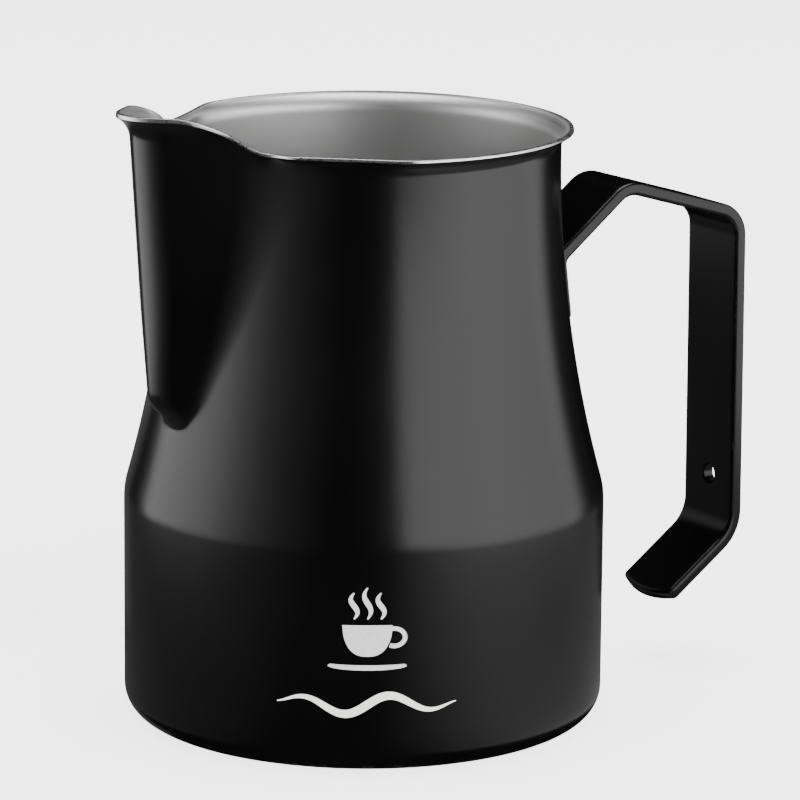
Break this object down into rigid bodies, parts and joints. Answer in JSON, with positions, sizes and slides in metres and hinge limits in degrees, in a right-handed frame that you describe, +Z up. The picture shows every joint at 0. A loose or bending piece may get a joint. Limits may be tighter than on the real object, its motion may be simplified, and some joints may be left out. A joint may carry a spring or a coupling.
{
  "type": "milk frothing pitcher",
  "caption": "Black-coated spun steel milk jug with a belly, narrow neck, rolled-out lip, pressed pouring spout and a bent flat strap handle open at its lower end.",
  "frame": {"origin": "centre of the flat base, on its underside", "axes": "+Z up along the vessel's axis, spout towards -X, handle towards +X"},
  "size_m": [0.1285, 0.086, 0.1128],
  "materials": {
    "black_coating": "satin non-stick coating over steel, bare satin steel on the inside and on the ground rim",
    "black_coating_strap": "satin non-stick coating over a flat steel strap",
    "bare_steel": "bare satin stainless steel",
    "printed_mark": "thin pale printed ink"
  },
  "bodies": {
    "root": {"pitcher_body": "black_coating", "handle_strap": "black_coating_strap", "weld_nugget_1": "bare_steel", "weld_nugget_2": "bare_steel", "weld_nugget_3": "bare_steel", "weld_nugget_4": "bare_steel"}
  },
  "joints": []
}
